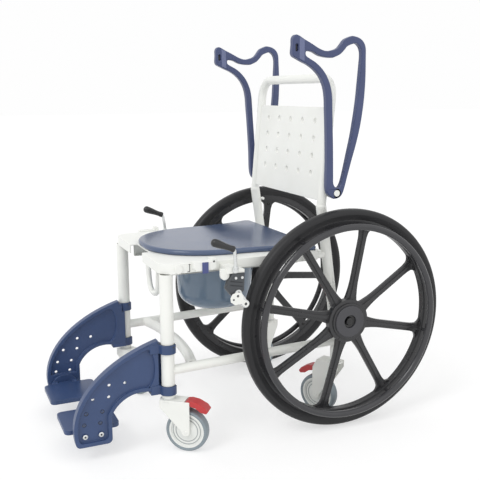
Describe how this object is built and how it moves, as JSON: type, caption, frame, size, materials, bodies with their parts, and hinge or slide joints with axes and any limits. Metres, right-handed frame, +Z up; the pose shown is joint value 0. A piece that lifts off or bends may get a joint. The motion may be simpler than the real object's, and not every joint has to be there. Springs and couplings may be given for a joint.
{
  "type": "shower commode chair",
  "caption": "Wheeled shower and commode chair with self-propelling wheels, swivel casters, folding armrests, swing-away leg rests, lift-off lid and slide-out pan.",
  "frame": {"origin": "on the floor, at the middle of the overall length and width", "axes": "+X to the sitter's left, +Y rearward, +Z up"},
  "size_m": [0.616, 1.0399, 1.0408],
  "materials": {
    "frame_paint": "satin off-white powder coat",
    "seat_plastic": "white moulded plastic",
    "fitting_plastic": "pale grey moulded plastic",
    "steel": "zinc-plated steel",
    "strip_plastic": "blue plastic",
    "housing_plastic": "dark grey plastic",
    "tyre_rubber": "matt black solid tyre",
    "rim_plastic": "black glass-filled plastic",
    "push_rim": "black coated ring",
    "cap_plastic": "dark grey cap",
    "caster_disc": "pale plastic wheel centre",
    "caster_tread": "grey rubber tread",
    "pedal_plastic": "red plastic",
    "leg_plastic": "blue moulded plastic",
    "arm_plastic": "blue moulded plastic",
    "lid_plastic": "blue satin plastic",
    "pan_plastic": "translucent blue-grey plastic",
    "grip_plastic": "black plastic grip"
  },
  "bodies": {
    "frame": {"front_uprights": "frame_paint", "bottom_rails": "frame_paint", "back_frame": "frame_paint", "cross_tube": "frame_paint", "seat_rails": "frame_paint", "seat_board": "seat_plastic", "backrest_panel": "seat_plastic", "axle_sockets": "frame_paint", "wheel_axles": "steel", "pan_runners": "fitting_plastic", "armrest_hinges": "frame_paint", "armrest_rests": "seat_plastic", "rest_strips": "strip_plastic", "brake_brackets": "frame_paint", "brake_housings": "housing_plastic", "stem_bushes": "fitting_plastic", "frame_screws": "steel"},
    "left_wheel": {"left_tyre": "tyre_rubber", "left_rim": "rim_plastic", "left_push_rim": "push_rim", "left_hub_cap": "cap_plastic"},
    "left_button": {"left_axle_button": "steel"},
    "right_wheel": {"right_tyre": "tyre_rubber", "right_rim": "rim_plastic", "right_push_rim": "push_rim", "right_hub_cap": "cap_plastic"},
    "right_button": {"right_axle_button": "steel"},
    "front_left_caster": {"front_left_fork": "frame_paint"},
    "front_left_caster_wheel": {"front_left_disc": "caster_disc", "front_left_tread": "caster_tread"},
    "front_left_caster_pedal": {"front_left_pedal": "pedal_plastic"},
    "front_right_caster": {"front_right_fork": "frame_paint"},
    "front_right_caster_wheel": {"front_right_disc": "caster_disc", "front_right_tread": "caster_tread"},
    "front_right_caster_pedal": {"front_right_pedal": "pedal_plastic"},
    "rear_left_caster": {"rear_left_fork": "frame_paint"},
    "rear_left_caster_wheel": {"rear_left_disc": "caster_disc", "rear_left_tread": "caster_tread"},
    "rear_left_caster_pedal": {"rear_left_pedal": "pedal_plastic"},
    "rear_right_caster": {"rear_right_fork": "frame_paint"},
    "rear_right_caster_wheel": {"rear_right_disc": "caster_disc", "rear_right_tread": "caster_tread"},
    "rear_right_caster_pedal": {"rear_right_pedal": "pedal_plastic"},
    "left_leg_rest": {"left_leg_plate": "leg_plastic", "left_foot_bracket": "leg_plastic"},
    "left_foot_rest": {"left_footplate": "leg_plastic"},
    "left_arm": {"left_armrest": "arm_plastic"},
    "left_brake": {"left_brake_lever": "steel", "left_brake_grip": "grip_plastic"},
    "left_shoe": {"left_brake_shoe": "steel"},
    "right_leg_rest": {"right_leg_plate": "leg_plastic", "right_foot_bracket": "leg_plastic"},
    "right_foot_rest": {"right_footplate": "leg_plastic"},
    "right_arm": {"right_armrest": "arm_plastic"},
    "right_brake": {"right_brake_lever": "steel", "right_brake_grip": "grip_plastic"},
    "right_shoe": {"right_brake_shoe": "steel"},
    "pan_unit": {"pan": "pan_plastic", "pan_handle": "seat_plastic"},
    "lid": {"seat_lid": "lid_plastic"}
  },
  "joints": [
    {"name": "left_wheel_spin", "type": "hinge", "parent": "frame", "child": "left_wheel", "pos_m": [0.262, 0.22, 0.3], "axis": [1, 0, 0], "continuous": true},
    {"name": "left_button_press", "type": "slide", "parent": "frame", "child": "left_button", "axis": [1, 0, 0], "range_m": [-0.004, 0], "stiffness_N_per_m": 250, "springref_m": 0.002},
    {"name": "right_wheel_spin", "type": "hinge", "parent": "frame", "child": "right_wheel", "pos_m": [-0.262, 0.22, 0.3], "axis": [1, 0, 0], "continuous": true},
    {"name": "right_button_press", "type": "slide", "parent": "frame", "child": "right_button", "axis": [-1, 0, 0], "range_m": [-0.004, 0], "stiffness_N_per_m": 250, "springref_m": 0.002},
    {"name": "front_left_swivel", "type": "hinge", "parent": "frame", "child": "front_left_caster", "pos_m": [0.21, -0.263, 0.15], "axis": [0, 0, 1], "continuous": true},
    {"name": "front_left_roll", "type": "hinge", "parent": "front_left_caster", "child": "front_left_caster_wheel", "pos_m": [0.24044, -0.22333, 0.0555], "axis": [0.7934, -0.6088, 0], "continuous": true},
    {"name": "front_left_pedal_press", "type": "hinge", "parent": "front_left_caster", "child": "front_left_caster_pedal", "pos_m": [0.24348, -0.21937, 0.13], "axis": [0.7934, -0.6088, 0], "range_deg": [-6, 0]},
    {"name": "front_right_swivel", "type": "hinge", "parent": "frame", "child": "front_right_caster", "pos_m": [-0.21, -0.263, 0.15], "axis": [0, 0, 1], "continuous": true},
    {"name": "front_right_roll", "type": "hinge", "parent": "front_right_caster", "child": "front_right_caster_wheel", "pos_m": [-0.1667, -0.238, 0.0555], "axis": [0.5, -0.866, 0], "continuous": true},
    {"name": "front_right_pedal_press", "type": "hinge", "parent": "front_right_caster", "child": "front_right_caster_pedal", "pos_m": [-0.16237, -0.2355, 0.13], "axis": [0.5, -0.866, 0], "range_deg": [-6, 0]},
    {"name": "rear_left_swivel", "type": "hinge", "parent": "frame", "child": "rear_left_caster", "pos_m": [0.21, 0.226, 0.15], "axis": [0, 0, 1], "range_deg": [-118, 58]},
    {"name": "rear_left_roll", "type": "hinge", "parent": "rear_left_caster", "child": "rear_left_caster_wheel", "pos_m": [0.1667, 0.201, 0.0555], "axis": [-0.5, 0.866, 0], "continuous": true},
    {"name": "rear_left_pedal_press", "type": "hinge", "parent": "rear_left_caster", "child": "rear_left_caster_pedal", "pos_m": [0.16237, 0.1985, 0.13], "axis": [-0.5, 0.866, 0], "range_deg": [-6, 0]},
    {"name": "rear_right_swivel", "type": "hinge", "parent": "frame", "child": "rear_right_caster", "pos_m": [-0.21, 0.226, 0.15], "axis": [0, 0, 1], "range_deg": [-28, 148]},
    {"name": "rear_right_roll", "type": "hinge", "parent": "rear_right_caster", "child": "rear_right_caster_wheel", "pos_m": [-0.185, 0.1827, 0.0555], "axis": [-0.866, -0.5, 0], "continuous": true},
    {"name": "rear_right_pedal_press", "type": "hinge", "parent": "rear_right_caster", "child": "rear_right_caster_pedal", "pos_m": [-0.1825, 0.17837, 0.13], "axis": [-0.866, -0.5, 0], "range_deg": [-6, 0]},
    {"name": "left_leg_swing", "type": "hinge", "parent": "frame", "child": "left_leg_rest", "pos_m": [0.21, -0.263, 0.2], "axis": [0, 0, 1], "range_deg": [0, 100]},
    {"name": "left_foot_flip", "type": "hinge", "parent": "left_leg_rest", "child": "left_foot_rest", "pos_m": [0.1704, -0.45748, 0.066], "axis": [0, 1, 0], "range_deg": [0, 90]},
    {"name": "left_arm_fold", "type": "hinge", "parent": "frame", "child": "left_arm", "pos_m": [0.24, 0.1975, 0.64], "axis": [1, 0, 0], "range_deg": [0, 91]},
    {"name": "left_brake_turn", "type": "hinge", "parent": "frame", "child": "left_brake", "pos_m": [0.279, -0.10532, 0.47], "axis": [1, 0, 0], "range_deg": [-45, 8]},
    {"name": "left_shoe_turn", "type": "hinge", "parent": "frame", "child": "left_shoe", "pos_m": [0.282, -0.09932, 0.41172], "axis": [1, 0, 0], "range_deg": [-13.6, 2.5]},
    {"name": "right_leg_swing", "type": "hinge", "parent": "frame", "child": "right_leg_rest", "pos_m": [-0.21, -0.263, 0.2], "axis": [0, 0, -1], "range_deg": [0, 100]},
    {"name": "right_foot_flip", "type": "hinge", "parent": "right_leg_rest", "child": "right_foot_rest", "pos_m": [-0.1704, -0.45748, 0.066], "axis": [0, -1, 0], "range_deg": [0, 90]},
    {"name": "right_arm_fold", "type": "hinge", "parent": "frame", "child": "right_arm", "pos_m": [-0.24, 0.1975, 0.64], "axis": [1, 0, 0], "range_deg": [0, 89.2]},
    {"name": "right_brake_turn", "type": "hinge", "parent": "frame", "child": "right_brake", "pos_m": [-0.279, -0.10532, 0.47], "axis": [1, 0, 0], "range_deg": [-45, 8]},
    {"name": "right_shoe_turn", "type": "hinge", "parent": "frame", "child": "right_shoe", "pos_m": [-0.282, -0.09932, 0.41172], "axis": [1, 0, 0], "range_deg": [-13.6, 2.5]},
    {"name": "pan_slide", "type": "slide", "parent": "frame", "child": "pan_unit", "axis": [0, -1, 0], "range_m": [0, 0.32]},
    {"name": "lid_lift", "type": "slide", "parent": "frame", "child": "lid", "axis": [0, 0, 1], "range_m": [0, 0.12]}
  ],
  "couplings": [
    {"joint": "left_shoe_turn", "follows": "left_brake_turn", "ratio": 0.3},
    {"joint": "right_shoe_turn", "follows": "right_brake_turn", "ratio": 0.3}
  ]
}
